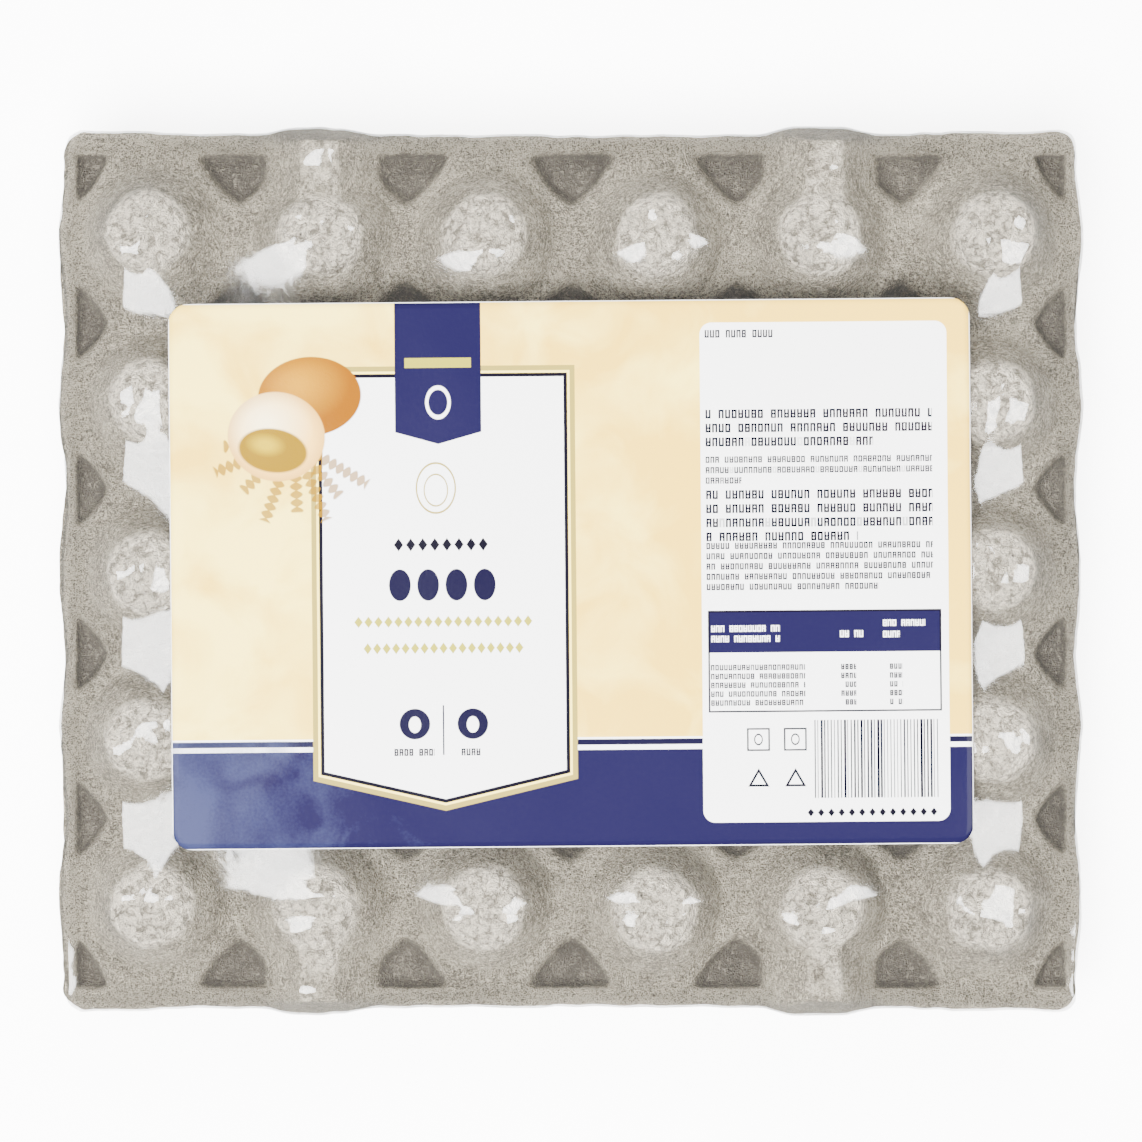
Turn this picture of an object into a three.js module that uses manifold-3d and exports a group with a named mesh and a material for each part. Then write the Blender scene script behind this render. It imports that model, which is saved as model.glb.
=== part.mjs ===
// Shut pack of thirty eggs: two moulded pulp trays face to face, the upper one turned over as a lid,
// in clear shrink film, with a printed paper label on top of the film.
// Millimetres, +Z up. The origin is on the ground under the middle of the pack, X runs along its longer side.
// Nothing can be seen inside the shut pack, so each tray is solid up to the plane where the two meet.

import * as THREE from 'three';
import { ConvexGeometry } from 'three/addons/geometries/ConvexGeometry.js';
import { mergeVertices } from 'three/addons/utils/BufferGeometryUtils.js';
import Module from 'manifold-3d';

// Egg cells
const PITCH = 48;
const COLUMNS = 6;
const ROWS = 5;
const GRID_HALF_X = (COLUMNS * PITCH) / 2;
const GRID_HALF_Y = (ROWS * PITCH) / 2;

// Heights above the plane where the trays meet, the same in both trays
const TRAY_HEIGHT = 33;
const RIM_HEIGHT = 10.5;
const PIT_HEIGHT = 2.2;
const RIB_HEIGHT = 28.5;
const RIB_FALL = 1.6; // the top of a rib slopes down this much from the dome to the edge
const MEETING_GAP = 0.3;

// One cup, seen from outside as a blunt dome: [radius, height] from its crumbled flat top to its foot
const DOME_PROFILE = [
  [8.6, TRAY_HEIGHT],
  [14.6, 23.4],
  [20.4, RIM_HEIGHT + 0.9],
];
const SECTORS = 16; // four for each side of the square cell
const PIT_MOUTH = 11; // from the middle of a cell's side to the mouth of a pit
const FOOT_RADIUS = 23.4;
const FOOT_CORNER_RADIUS = 26.5; // on the diagonals, where the foot runs on to the mouth of a pit

// Rim outside the cells
const HALF_LENGTH = 146.7;
const HALF_WIDTH_END = 126.6;
const HALF_WIDTH_MIDDLE = 124.9;
const RIM_WAVE = 0.8; // the short edges stand out a little beside each row of cups
const RIB_BULGE = 2.2; // the long edges stand out at the ends of the ribs
const RIB_BULGE_HALF = 10.5;
const CORNER_RADIUS = 5.5;
const PIT_WALL = 1.7;
const RIM_DROP = 0.7;
const RIM_FLARE = 0.7; // the edge of the lower tray stands out past the lid

// Ribs from the second and fifth cups of the outer rows to the long edges
const RIB_X = 1.5 * PITCH;
const RIB_TOP_HALF = 4.7;
const RIB_FOOT_HALF = 13.5;
const RIB_END = 122;
const RIB_FOOT_END = 125.5;
const RIB_ROOT = RIM_HEIGHT - 2; // how far down a rib reaches into the rim

// Film over the pack
const FILM_GAP = 0.3;
const FILM_THICKNESS = 0.4;
const FILM_DOME_HALF = 9.8; // the film lies flat on each dome out to here
const FILM_SAG_BETWEEN = 5; // between two neighbouring domes
const FILM_SAG_JUNCTION = 9; // where four domes stand round a pit
const FILM_RIB_LINE = 122.8;

// Label
const LABEL_LENGTH = 226.5;
const LABEL_WIDTH = 154.3;
const LABEL_THICKNESS = 0.5;
const LABEL_CORNER = 5.5;
const LABEL_Y = -0.8;
const LABEL_TURN = THREE.MathUtils.degToRad(0.5);

const wasm = await Module();
wasm.setup();

const MIDDLE = TRAY_HEIGHT; // height of the meeting plane above the ground
const FILM_TOP = MIDDLE + TRAY_HEIGHT + FILM_GAP;

// Collects triangles and gives them back as one geometry with shared vertices
class Surface {
  constructor() {
    this.corners = [];
  }

  triangle(a, b, c) {
    const same = (p, q) => p[0] === q[0] && p[1] === q[1] && p[2] === q[2];
    if (!same(a, b) && !same(b, c) && !same(c, a)) this.corners.push(...a, ...b, ...c);
  }

  // Joins two rings with the same number of points, in pairs
  band(inner, outer) {
    inner.forEach((point, i) => {
      const next = (i + 1) % inner.length;
      this.triangle(point, outer[i], outer[next]);
      this.triangle(point, outer[next], inner[next]);
    });
  }

  geometry() {
    const geometry = new THREE.BufferGeometry();
    geometry.setAttribute('position', new THREE.Float32BufferAttribute(this.corners, 3));
    return mergeVertices(geometry, 1e-4);
  }
}

// Half width of the rim at x: bowed in between the corners, with a bulge at each rib
function halfWidthAt(x) {
  const bow = HALF_WIDTH_MIDDLE + (HALF_WIDTH_END - HALF_WIDTH_MIDDLE) * Math.abs(x / HALF_LENGTH) ** 3;
  const beside = (Math.abs(Math.abs(x) - RIB_X) - RIB_BULGE_HALF) / (PITCH / 2 - RIB_BULGE_HALF);
  return bow + RIB_BULGE * (1 - THREE.MathUtils.clamp(beside, 0, 1));
}

function halfLengthAt(y) {
  return HALF_LENGTH + RIM_WAVE * Math.cos((2 * Math.PI * y) / PITCH);
}

// The points of the cell grid's outer border, counterclockwise, with each corner three times over
function borderPoints() {
  const points = [];
  const offsets = [-PITCH / 2, -PIT_MOUTH, 0, PIT_MOUTH];
  const side = (cells, place) => {
    for (let cell = 0; cell < cells; cell += 1) {
      for (const offset of offsets) {
        const along = (cell - (cells - 1) / 2) * PITCH + offset;
        const corner = cell === 0 && offset === offsets[0];
        for (const turn of corner ? [-1, 0, 1] : [0]) points.push({ ...place(along), corner, turn });
      }
    }
  };
  side(COLUMNS, (t) => ({ x: t, y: -GRID_HALF_Y, side: 0 }));
  side(ROWS, (t) => ({ x: GRID_HALF_X, y: t, side: 1 }));
  side(COLUMNS, (t) => ({ x: -t, y: GRID_HALF_Y, side: 2 }));
  side(ROWS, (t) => ({ x: -GRID_HALF_X, y: -t, side: 3 }));
  return points;
}

// Moves a border point outwards: share 0 leaves it on the cell grid, 1 takes it to the edge of the rim.
// A taut sheet spans the hollows in the short edges instead of following them.
function outwards(point, share, flare, taut = false) {
  const halfLength = taut ? HALF_LENGTH + RIM_WAVE : halfLengthAt(point.y);
  const halfWidth = point.corner ? HALF_WIDTH_END : halfWidthAt(point.x);
  const edgeX = GRID_HALF_X + share * (halfLength + flare - GRID_HALF_X);
  const edgeY = GRID_HALF_Y + share * (halfWidth + flare - GRID_HALF_Y);
  if (!point.corner) {
    return point.side % 2 === 0
      ? [point.x, Math.sign(point.y) * edgeY]
      : [Math.sign(point.x) * edgeX, point.y];
  }
  const radius = CORNER_RADIUS * share;
  const centre = [Math.sign(point.x) * (edgeX - radius), Math.sign(point.y) * (edgeY - radius)];
  const angle = Math.atan2(Math.sign(point.y), Math.sign(point.x)) + (point.turn * Math.PI) / 4;
  return [centre[0] + radius * Math.cos(angle), centre[1] + radius * Math.sin(angle)];
}

// One cell: rings of points from the dome's top to the square border that it shares with its neighbours
function addCell(surface, centreX, centreY) {
  const at = (radius, sector, height) => {
    const angle = (2 * Math.PI * sector) / SECTORS;
    return [centreX + radius * Math.cos(angle), centreY + radius * Math.sin(angle), height];
  };
  const sectors = [...Array(SECTORS).keys()];
  const rings = DOME_PROFILE.map(([radius, height]) => sectors.map((s) => at(radius, s, height)));
  rings.push(sectors.map((s) => {
    const radius = s % 4 === 2 ? FOOT_CORNER_RADIUS : FOOT_RADIUS;
    return at(radius, s, RIM_HEIGHT);
  }));
  const half = PITCH / 2;
  const edge = [[half, 0], [half, PIT_MOUTH], [half, half], [PIT_MOUTH, half]];
  rings.push(sectors.map((s) => {
    const [x, y] = edge[s % 4];
    const turn = Math.floor(s / 4);
    const [turnedX, turnedY] = [[x, y], [-y, x], [-x, -y], [y, -x]][turn];
    return [centreX + turnedX, centreY + turnedY, s % 4 === 2 ? PIT_HEIGHT : RIM_HEIGHT];
  }));
  for (let s = 1; s < SECTORS - 1; s += 1) surface.triangle(rings[0][0], rings[0][s], rings[0][s + 1]);
  for (let ring = 0; ring + 1 < rings.length; ring += 1) surface.band(rings[ring], rings[ring + 1]);
}

// One tray with its cups pointing up, standing on the meeting plane at height 0
function trayGeometry(flare) {
  const surface = new Surface();
  for (let column = 0; column < COLUMNS; column += 1) {
    for (let row = 0; row < ROWS; row += 1) {
      addCell(surface, (column - (COLUMNS - 1) / 2) * PITCH, (row - (ROWS - 1) / 2) * PITCH);
    }
  }
  const border = borderPoints();
  const onLine = (value, half) => (Math.abs(value) + half) % PITCH === 0;
  const junction = (point) => onLine(point.x, GRID_HALF_X) && onLine(point.y, GRID_HALF_Y);
  const cellEdge = border.map((p) => [p.x, p.y, junction(p) ? PIT_HEIGHT : RIM_HEIGHT]);
  const wallShare = PIT_WALL / (HALF_WIDTH_MIDDLE - GRID_HALF_Y);
  const wallTop = border.map((p) => [...outwards(p, wallShare, 0), RIM_HEIGHT]);
  const rimEdge = border.map((p) => [...outwards(p, 1, 0), RIM_HEIGHT - RIM_DROP]);
  const skirtFoot = border.map((p) => [...outwards(p, 1, flare), MEETING_GAP / 2]);
  surface.band(cellEdge, wallTop);
  surface.band(wallTop, rimEdge);
  surface.band(rimEdge, skirtFoot);
  surface.band(skirtFoot, skirtFoot.map(() => [0, 0, MEETING_GAP / 2]));
  return surface.geometry();
}

// A rib with sloping flanks, from inside its dome to the long edge on the side that towards gives
function ribGeometry(x, towards) {
  const start = GRID_HALF_Y - PITCH / 2;
  const points = [];
  for (const side of [-1, 1]) {
    points.push(new THREE.Vector3(x + side * RIB_TOP_HALF, towards * start, RIB_HEIGHT));
    points.push(new THREE.Vector3(x + side * RIB_TOP_HALF, towards * RIB_END, RIB_HEIGHT - RIB_FALL));
    points.push(new THREE.Vector3(x + side * RIB_FOOT_HALF, towards * start, RIB_ROOT));
    points.push(new THREE.Vector3(x + side * RIB_FOOT_HALF, towards * RIB_FOOT_END, RIB_ROOT));
  }
  return new ConvexGeometry(points);
}

function toSolid(geometry) {
  geometry.deleteAttribute('normal');
  geometry.deleteAttribute('uv');
  const merged = mergeVertices(geometry, 1e-4);
  return new wasm.Manifold(new wasm.Mesh({
    numProp: 3,
    vertProperties: merged.attributes.position.array,
    triVerts: Uint32Array.from(merged.index.array),
  }));
}

function fromSolid(solid) {
  const mesh = solid.getMesh();
  const geometry = new THREE.BufferGeometry();
  geometry.setAttribute('position', new THREE.BufferAttribute(mesh.vertProperties, 3));
  geometry.setIndex(new THREE.BufferAttribute(mesh.triVerts, 1));
  geometry.computeVertexNormals();
  return geometry;
}

function trayWithRibs(flare) {
  let tray = toSolid(trayGeometry(flare));
  for (const x of [-RIB_X, RIB_X]) {
    for (const towards of [-1, 1]) tray = tray.add(toSolid(ribGeometry(x, towards)));
  }
  return fromSolid(tray);
}

// The lines across the pack on which the film's creases lie: both sides of each dome, and midway between domes
function filmLines(cells) {
  const lines = [];
  for (let cell = 0; cell < cells; cell += 1) {
    const centre = (cell - (cells - 1) / 2) * PITCH;
    lines.push({ at: centre - FILM_DOME_HALF, between: false, centre });
    lines.push({ at: centre + FILM_DOME_HALF, between: false, centre });
    if (cell + 1 < cells) lines.push({ at: centre + PITCH / 2, between: true, centre });
  }
  return lines;
}

function filmHeight(column, row) {
  if (column.between && row.between) return FILM_TOP - FILM_SAG_JUNCTION;
  return column.between || row.between ? FILM_TOP - FILM_SAG_BETWEEN : FILM_TOP;
}

// One face of the film, lifted or moved out by thickness: the top, the slopes to the edge and the sides.
// It returns the rings from the middle outwards, after adding the flat-to-wavy top to the surface.
function addFilmFace(surface, thickness, facingOut) {
  const columns = filmLines(COLUMNS);
  const rows = filmLines(ROWS);
  const add = facingOut
    ? (a, b, c) => surface.triangle(a, b, c)
    : (a, b, c) => surface.triangle(a, c, b);
  const quad = (a, b, c, d) => {
    add(a, b, c);
    add(a, c, d);
  };
  const top = rows.map((row) => columns.map((column) => [
    column.at, row.at, filmHeight(column, row) + thickness,
  ]));
  for (let j = 0; j + 1 < rows.length; j += 1) {
    for (let i = 0; i + 1 < columns.length; i += 1) {
      quad(top[j][i], top[j][i + 1], top[j + 1][i + 1], top[j + 1][i]);
    }
  }
  const last = columns.length - 1;
  const end = rows.length - 1;
  const round = [
    ...columns.slice(0, last).map((_, i) => [top[0][i], 0]),
    ...rows.slice(0, end).map((_, j) => [top[j][last], 1]),
    ...columns.slice(0, last).map((_, i) => [top[end][last - i], 2]),
    ...rows.slice(0, end).map((_, j) => [top[end - j][0], 3]),
  ];
  const shell = [];
  round.forEach(([point, side], i) => {
    const corner = i === 0 || round[i - 1][1] !== side;
    for (const turn of corner ? [-1, 0, 1] : [0]) {
      shell.push({ x: point[0], y: point[1], z: point[2], side, corner, turn });
    }
  });
  const out = (p, flare) => outwards(p, 1, flare + FILM_GAP + thickness, true);
  const ribTop = MIDDLE + RIB_HEIGHT + FILM_GAP + thickness;
  const edgeTop = MIDDLE + RIM_HEIGHT + FILM_GAP + thickness;
  const tent = shell.map((p) => {
    const [x, y] = out(p, 0);
    const lineShare = (FILM_RIB_LINE + thickness - Math.abs(p.y)) / (Math.abs(y) - Math.abs(p.y));
    const share = p.side % 2 === 0 && !p.corner ? lineShare : 0.5;
    const overRib = p.side % 2 === 0 && Math.abs(Math.abs(p.x) - RIB_X) < FILM_DOME_HALF + 1;
    const height = overRib ? ribTop : p.z + share * (edgeTop - p.z);
    return [p.x + share * (x - p.x), p.y + share * (y - p.y), height];
  });
  const rings = [
    shell.map((p) => [p.x, p.y, p.z]),
    tent,
    shell.map((p) => [...out(p, 0), edgeTop]),
    shell.map((p) => [...out(p, RIM_FLARE), MIDDLE]),
    shell.map((p) => [...out(p, RIM_FLARE), MIDDLE - RIM_HEIGHT - FILM_GAP]),
  ];
  for (let ring = 0; ring + 1 < rings.length; ring += 1) {
    rings[ring].forEach((point, i) => {
      const next = (i + 1) % shell.length;
      quad(point, rings[ring + 1][i], rings[ring + 1][next], rings[ring][next]);
    });
  }
  return rings[rings.length - 1];
}

// The film as a thin hood: an outer and an inner face joined along the lower hem
function filmGeometry() {
  const surface = new Surface();
  const outerHem = addFilmFace(surface, FILM_THICKNESS, true);
  const innerHem = addFilmFace(surface, 0, false);
  surface.band(outerHem, innerHem);
  return surface.geometry();
}

function labelGeometry() {
  const [x, y, r] = [LABEL_LENGTH / 2, LABEL_WIDTH / 2, LABEL_CORNER];
  const outline = new THREE.Shape();
  outline.moveTo(-x + r, -y);
  outline.lineTo(x - r, -y);
  outline.absarc(x - r, -y + r, r, -Math.PI / 2, 0);
  outline.lineTo(x, y - r);
  outline.absarc(x - r, y - r, r, 0, Math.PI / 2);
  outline.lineTo(-x + r, y);
  outline.absarc(-x + r, y - r, r, Math.PI / 2, Math.PI);
  outline.lineTo(-x, -y + r);
  outline.absarc(-x + r, -y + r, r, Math.PI, 1.5 * Math.PI);
  return new THREE.ExtrudeGeometry(outline, { depth: LABEL_THICKNESS, bevelEnabled: false, curveSegments: 8 });
}

function namedMesh(name, geometry, material) {
  const mesh = new THREE.Mesh(geometry, material);
  mesh.name = name;
  return mesh;
}

const pulp = new THREE.MeshStandardMaterial({ color: 0xb8b0a2, roughness: 0.95, metalness: 0 });
const clearFilm = new THREE.MeshStandardMaterial({
  color: 0xf4f4f2, roughness: 0.1, metalness: 0, transparent: true, opacity: 0.2,
});
const printedPaper = new THREE.MeshStandardMaterial({ color: 0xf2e6cb, roughness: 0.45, metalness: 0 });

const pack = new THREE.Group();

const upperTray = namedMesh('upper_tray', trayWithRibs(0), pulp);
upperTray.position.z = MIDDLE;

const lowerTray = namedMesh('lower_tray', trayWithRibs(RIM_FLARE), pulp);
lowerTray.rotation.x = Math.PI;
lowerTray.position.z = MIDDLE;

const film = namedMesh('film', filmGeometry(), clearFilm);

const label = namedMesh('label', labelGeometry(), printedPaper);
label.position.set(0, LABEL_Y, FILM_TOP + FILM_THICKNESS + FILM_GAP);
label.rotation.z = LABEL_TURN;

pack.add(lowerTray, upperTray, film, label);

export default pack;
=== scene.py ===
"""Looks of a shut egg pack: two pulp trays face to face in clear shrink film, with a paper label on top."""

import logging
import math
from dataclasses import dataclass, replace
from enum import Enum
from typing import Iterable, Sequence

import bpy
import numpy as np
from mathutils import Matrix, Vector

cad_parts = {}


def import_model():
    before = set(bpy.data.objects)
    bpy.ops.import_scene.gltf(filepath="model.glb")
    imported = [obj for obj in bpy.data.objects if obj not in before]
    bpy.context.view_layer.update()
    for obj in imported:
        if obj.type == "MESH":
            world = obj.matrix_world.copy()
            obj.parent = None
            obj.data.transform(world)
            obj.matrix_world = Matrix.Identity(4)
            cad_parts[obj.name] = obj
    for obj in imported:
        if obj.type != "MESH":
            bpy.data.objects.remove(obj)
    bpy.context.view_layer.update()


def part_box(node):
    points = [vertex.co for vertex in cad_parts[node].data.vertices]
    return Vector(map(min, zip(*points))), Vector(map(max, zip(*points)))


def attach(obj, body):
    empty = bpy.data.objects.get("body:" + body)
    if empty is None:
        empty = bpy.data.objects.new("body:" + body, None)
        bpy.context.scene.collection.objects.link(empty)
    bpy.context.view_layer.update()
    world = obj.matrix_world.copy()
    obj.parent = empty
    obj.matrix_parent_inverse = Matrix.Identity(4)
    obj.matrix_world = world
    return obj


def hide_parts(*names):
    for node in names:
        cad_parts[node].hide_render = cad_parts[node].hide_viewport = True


LOG = logging.getLogger("egg_pack")
MM = 0.001
Array = np.ndarray
Colour = tuple[float, float, float]


class Slot(Enum):
    """The record's material slots."""

    PULP = "pulp"
    FILM = "clear_film"
    PRINT = "label_print"


class Region(Enum):
    """The parts of the label that each have a finish of their own."""

    LEFT = 0
    MIDDLE = 1
    RIGHT = 2


class Way(Enum):
    """Which way the cups of a tray point."""

    UP = 1
    DOWN = -1


# Small numeric helpers


def smooth_step(t: Array) -> Array:
    """Rises from 0 to 1 as t goes from 0 to 1, level at both ends: 3t² - 2t³."""
    t = np.clip(t, 0.0, 1.0)
    return t * t * (3.0 - 2.0 * t)


def soft_min(a: Array, b: Array, blend: float) -> Array:
    """The lower of two surfaces, rounded over where they are within blend of each other."""
    share = np.clip(0.5 + 0.5 * (b - a) / blend, 0.0, 1.0)
    return b + (a - b) * share - blend * share * (1.0 - share)


def soft_max(a: Array, b: Array, blend: float) -> Array:
    """The higher of two surfaces, with a fillet where they are within blend of each other."""
    return -soft_min(-a, -b, blend)


def lattice_noise(x: Array, y: Array, cell: float, seed: int) -> Array:
    """Smooth random relief between -1 and 1 with bumps about cell wide.

    Each corner of a square lattice holds a random number, and a point blends the four round it with weights
    6t⁵ - 15t⁴ + 10t³.

    Args:
        x: First coordinate, in mm.
        y: Second coordinate, in mm.
        cell: Side of a lattice square, in mm.
        seed: Seed of the random numbers.

    Returns:
        The noise at each point.
    """
    size = 512
    table = np.random.default_rng(seed).uniform(-1.0, 1.0, (size, size))
    column, row = x / cell, y / cell
    left, low = np.floor(column).astype(int), np.floor(row).astype(int)
    u, v = column - left, row - low
    u = u * u * u * (u * (u * 6.0 - 15.0) + 10.0)
    v = v * v * v * (v * (v * 6.0 - 15.0) + 10.0)
    near = table[left % size, low % size] * (1 - u) + table[(left + 1) % size, low % size] * u
    far = table[left % size, (low + 1) % size] * (1 - u) + table[(left + 1) % size, (low + 1) % size] * u
    return near * (1 - v) + far * v


def layered_noise(x: Array, y: Array, layers: Sequence[tuple[float, float]], seed: int) -> Array:
    """The sum of lattice noises, one for each (cell, height) layer, each turned and drawn afresh."""
    total = np.zeros_like(x)
    for number, (cell, height) in enumerate(layers):
        turn = 0.7 * number + 0.3
        turned_x = x * math.cos(turn) - y * math.sin(turn)
        turned_y = x * math.sin(turn) + y * math.cos(turn)
        total += height * lattice_noise(turned_x, turned_y, cell, seed + number)
    return total


# Shader expressions


class Value:
    """A number that varies over a surface. Arithmetic on it adds Math nodes."""

    def __init__(self, graph: "Graph", socket: bpy.types.NodeSocket) -> None:
        """Wraps an output socket of the graph."""
        self.graph = graph
        self.socket = socket

    def _math(self, operation: str, *inputs: "Value | float", clamp: bool = False) -> "Value":
        """Adds one Math node and returns its result."""
        settings = {"operation": operation, "use_clamp": clamp}
        return self.graph.value("ShaderNodeMath", settings, dict(enumerate(inputs)))

    def __add__(self, other: "Value | float") -> "Value":
        """self + other."""
        return self._math("ADD", self, other)

    def __radd__(self, other: float) -> "Value":
        """other + self."""
        return self._math("ADD", other, self)

    def __sub__(self, other: "Value | float") -> "Value":
        """self - other."""
        return self._math("SUBTRACT", self, other)

    def __rsub__(self, other: float) -> "Value":
        """other - self."""
        return self._math("SUBTRACT", other, self)

    def __mul__(self, other: "Value | float") -> "Value":
        """self * other."""
        return self._math("MULTIPLY", self, other)

    def __rmul__(self, other: float) -> "Value":
        """other * self."""
        return self._math("MULTIPLY", other, self)

    def __truediv__(self, other: "Value | float") -> "Value":
        """self / other."""
        return self._math("DIVIDE", self, other)

    def __pow__(self, other: float) -> "Value":
        """self to the power of other."""
        return self._math("POWER", self, other)

    def __abs__(self) -> "Value":
        """The size of self without its sign."""
        return self._math("ABSOLUTE", self)

    def sine(self) -> "Value":
        """The sine of self, in radians."""
        return self._math("SINE", self)

    def floor(self) -> "Value":
        """The whole number at or below self."""
        return self._math("FLOOR", self)

    def fraction(self) -> "Value":
        """What self has past its whole number."""
        return self._math("FRACT", self)

    def at_most(self, other: "Value | float") -> "Value":
        """The lower of self and other."""
        return self._math("MINIMUM", self, other)

    def at_least(self, other: "Value | float") -> "Value":
        """The higher of self and other."""
        return self._math("MAXIMUM", self, other)

    def below(self, edge: float, soft: float = 0.14) -> "Value":
        """1 where self is under edge and 0 above it, with a ramp soft wide between."""
        return self._math("MULTIPLY_ADD", self, -1.0 / soft, edge / soft + 0.5, clamp=True)

    def above(self, edge: float, soft: float = 0.14) -> "Value":
        """1 where self is over edge and 0 under it, with a ramp soft wide between."""
        return self._math("MULTIPLY_ADD", self, 1.0 / soft, 0.5 - edge / soft, clamp=True)

    def between(self, low: float, high: float, soft: float = 0.14) -> "Value":
        """1 where self is from low to high, and 0 elsewhere."""
        return abs(self - (low + high) / 2.0).below((high - low) / 2.0, soft)


class Graph:
    """The node tree of one new material."""

    def __init__(self, name: str) -> None:
        """Makes an empty material of that name."""
        self.material = bpy.data.materials.new(name)
        self.material.use_nodes = True
        self.tree = self.material.node_tree
        self.tree.nodes.clear()
        self.output = self.tree.nodes.new("ShaderNodeOutputMaterial")

    def add(self, kind: str, settings: dict | None = None, inputs: dict | None = None) -> bpy.types.Node:
        """Adds a node.

        Args:
            kind: The node's type.
            settings: Its properties, set before its sockets.
            inputs: By socket name or number, a plain value, a Value or an output socket.

        Returns:
            The node.
        """
        node = self.tree.nodes.new(kind)
        for name, setting in (settings or {}).items():
            setattr(node, name, setting)
        for name, given in (inputs or {}).items():
            socket = given.socket if isinstance(given, Value) else given
            if isinstance(socket, bpy.types.NodeSocket):
                self.tree.links.new(socket, node.inputs[name])
            else:
                node.inputs[name].default_value = socket
        return node

    def value(self, kind: str, settings: dict | None, inputs: dict, output: str | int = 0) -> Value:
        """Adds a node and wraps one of its outputs."""
        return Value(self, self.add(kind, settings, inputs).outputs[output])

    def position_mm(self) -> bpy.types.NodeSocket:
        """The place on the piece in mm, from Object coordinates."""
        place = self.add("ShaderNodeTexCoord").outputs["Object"]
        inputs = {0: place, "Scale": 1.0 / MM}
        return self.add("ShaderNodeVectorMath", {"operation": "SCALE"}, inputs).outputs[0]

    def axes(self, vector: bpy.types.NodeSocket) -> tuple[Value, Value, Value]:
        """The three numbers of a vector."""
        outputs = self.add("ShaderNodeSeparateXYZ", None, {0: vector}).outputs
        return Value(self, outputs[0]), Value(self, outputs[1]), Value(self, outputs[2])

    def vector(self, x: Value | float, y: Value | float, z: Value | float = 0.0) -> bpy.types.NodeSocket:
        """A vector made of three numbers."""
        return self.add("ShaderNodeCombineXYZ", None, {0: x, 1: y, 2: z}).outputs[0]

    def stretched(self, vector: bpy.types.NodeSocket, by: tuple[float, float, float]) -> bpy.types.NodeSocket:
        """A vector with each axis multiplied."""
        return self.add("ShaderNodeVectorMath", {"operation": "MULTIPLY"}, {0: vector, 1: by}).outputs[0]

    def facing(self) -> Value:
        """How square the surface is to the view: 1 face on, on either side, and 0 edge on."""
        geometry = self.add("ShaderNodeNewGeometry").outputs
        inputs = {0: geometry["Normal"], 1: geometry["Incoming"]}
        cosine = self.value("ShaderNodeVectorMath", {"operation": "DOT_PRODUCT"}, inputs, "Value")
        return abs(cosine).at_most(1.0)

    def noise(self, vector: bpy.types.NodeSocket, size: float, detail: float = 3.0,
              warp: float = 0.0) -> Value:
        """Cloudy noise from 0 to 1 with blotches about size mm wide."""
        inputs = {"Vector": vector, "Scale": 1.0 / size, "Detail": detail, "Distortion": warp}
        return self.value("ShaderNodeTexNoise", None, inputs)

    def random(self, x: Value | float, y: Value | float, salt: float = 0.0) -> Value:
        """A random number from 0 to 1 for each x, y and salt."""
        inputs = {"Vector": self.vector(x, y, salt)}
        return self.value("ShaderNodeTexWhiteNoise", {"noise_dimensions": "3D"}, inputs)

    def mix(self, share: Value | float, first: object, second: object) -> bpy.types.NodeSocket:
        """The first colour where share is 0, the second where it is 1. Colours are tuples or sockets."""
        inputs = {0: share, 6: with_alpha(first), 7: with_alpha(second)}
        return self.add("ShaderNodeMix", {"data_type": "RGBA"}, inputs).outputs[2]

    def bump(self, height: Value, depth: float,
             under: bpy.types.NodeSocket | None = None) -> bpy.types.NodeSocket:
        """A normal bent by a height from 0 to 1 that stands for depth mm."""
        inputs = {"Height": height, "Distance": depth * MM, "Strength": 1.0}
        if under is not None:
            inputs["Normal"] = under
        return self.add("ShaderNodeBump", None, inputs).outputs[0]

    def finish(self, shader: bpy.types.NodeSocket) -> bpy.types.Material:
        """Sends a shader to the output and returns the material."""
        self.tree.links.new(shader, self.output.inputs["Surface"])
        return self.material


def with_alpha(colour: object) -> object:
    """A colour tuple with an alpha of 1, or a socket as it is."""
    return (*colour, 1.0) if isinstance(colour, tuple) else colour


# Finishes


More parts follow.
